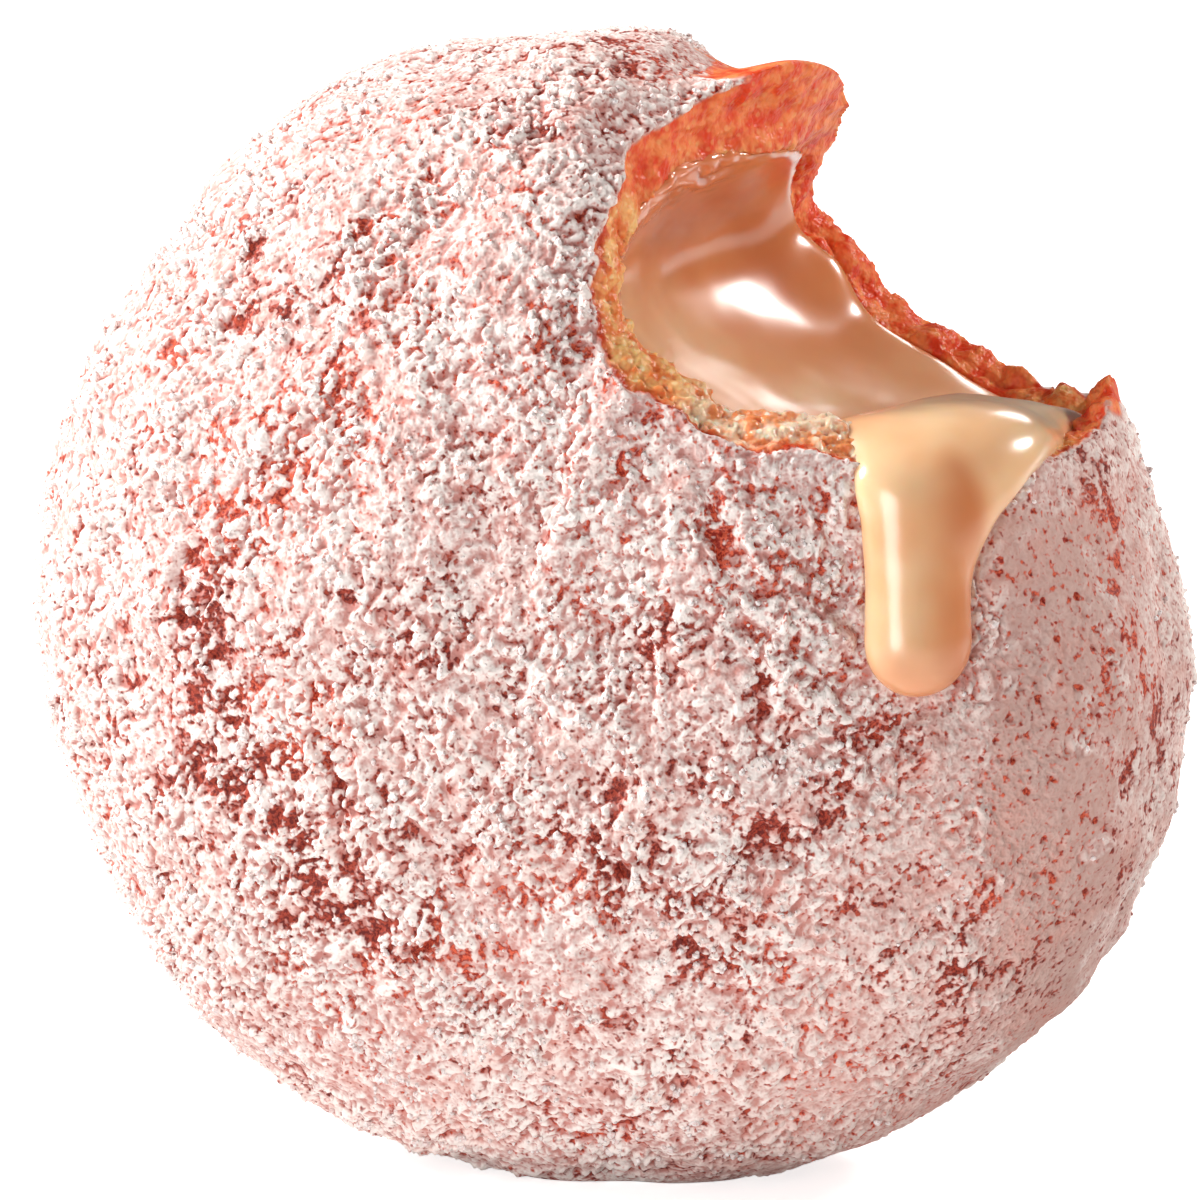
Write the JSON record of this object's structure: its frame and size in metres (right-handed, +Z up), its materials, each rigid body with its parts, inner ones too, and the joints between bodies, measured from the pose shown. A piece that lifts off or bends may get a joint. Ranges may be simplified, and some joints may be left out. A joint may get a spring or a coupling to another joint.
{
  "type": "cream filled doughnut",
  "caption": "Round cream filled doughnut with a bite out of its upper right, cream running out over the rim, standing on its edge.",
  "frame": {"origin": "the middle of the flat foot that the doughnut stands on, straight below the middle of its disc", "axes": "+Z up; +Y along the doughnut's flat axis, away from the shown face; +X towards the bitten side"},
  "size_m": [0.0918, 0.0552, 0.0891],
  "materials": {
    "dough": "fried dough under clotted powdered sugar, rough and dry",
    "cream": "caramel coloured custard cream, wet and glossy"
  },
  "bodies": {
    "root": {"dough": "dough", "cream": "cream"}
  },
  "joints": []
}
